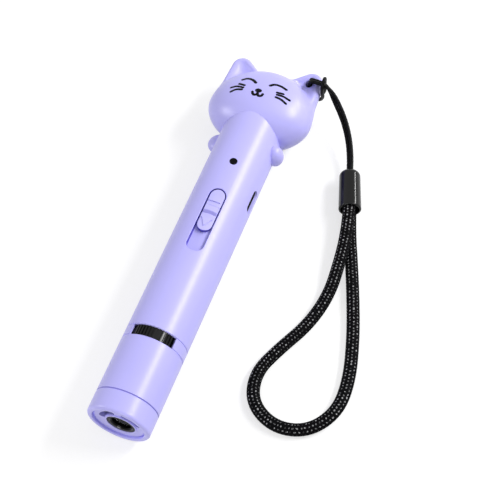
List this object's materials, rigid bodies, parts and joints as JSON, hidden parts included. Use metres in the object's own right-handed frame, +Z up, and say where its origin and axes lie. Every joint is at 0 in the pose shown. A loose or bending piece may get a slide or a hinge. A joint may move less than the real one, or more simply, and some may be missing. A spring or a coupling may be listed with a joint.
{
  "type": "pet laser pointer",
  "caption": "Cat-headed laser pointer pen with a slide switch, a pattern finger wheel, a charging port and a beaded wrist lanyard through one ear.",
  "frame": {"origin": "on the floor under the middle of the pen, which lies on its back; the lanyard is left out of that middle", "axes": "+Y from the lens end to the ear tips, +Z up out of the cat's face, +X to the charging port's side"},
  "size_m": [0.086, 0.1528, 0.0237],
  "materials": {
    "lilac_plastic": "satin gloss moulded plastic",
    "black_gloss_plastic": "polished moulded plastic",
    "black_matte_plastic": "fine-ribbed moulded plastic",
    "clear_lens": "clear polished",
    "film": "photographic film",
    "grey_plastic": "moulded plastic",
    "brass": "turned",
    "steel": "plated",
    "board": "solder mask",
    "lamp": "clear moulded resin",
    "cell_wrap": "shrink wrap",
    "foam": "adhesive foam",
    "cord": "round woven cord",
    "braid": "flat braided cord"
  },
  "bodies": {
    "pen": {"front_cap": "lilac_plastic", "front_sleeve": "lilac_plastic", "wheel_collar": "lilac_plastic", "barrel_tube": "lilac_plastic", "head_front_shell": "lilac_plastic", "head_back_shell": "lilac_plastic", "paw_left": "lilac_plastic", "paw_right": "lilac_plastic", "lens_ring": "black_gloss_plastic", "lens_window": "clear_lens", "led_board": "board", "white_led": "lamp", "uv_led": "lamp", "led_ribbon": "film", "wheel_carriage": "grey_plastic", "wheel_axle": "steel", "laser_housing": "brass", "collimator_lens": "clear_lens", "lens_spacer": "grey_plastic", "laser_diode": "steel", "laser_driver_board": "board", "laser_pin_left": "steel", "laser_pin_right": "steel", "circuit_board": "board", "slide_switch_body": "grey_plastic", "usb_socket": "steel", "usb_tongue": "black_matte_plastic", "control_chip": "black_matte_plastic", "charge_chip": "black_matte_plastic", "charge_coil": "grey_plastic", "indicator_led": "lamp", "indicator_lens": "black_gloss_plastic", "battery_cell": "cell_wrap", "battery_pad": "foam", "battery_tab_front": "steel", "battery_tab_back": "steel", "tail_plug": "grey_plastic", "tether_cord": "cord", "lanyard_bead": "black_gloss_plastic", "lanyard_core": "grey_plastic", "wrist_loop": "braid"},
    "knob": {"switch_knob": "lilac_plastic", "switch_retainer": "grey_plastic", "switch_lever": "black_matte_plastic"},
    "wheel": {"pattern_wheel": "black_matte_plastic", "pattern_film_1": "film", "pattern_film_2": "film", "pattern_film_3": "film", "pattern_film_4": "film"}
  },
  "joints": [
    {"name": "switch_slide", "type": "slide", "parent": "pen", "child": "knob", "axis": [0, -1, 0], "range_m": [0, 0.0084]},
    {"name": "wheel_spin", "type": "hinge", "parent": "pen", "child": "wheel", "pos_m": [0.00041, -0.0468, 0.01357], "axis": [0, 1, 0], "continuous": true}
  ]
}
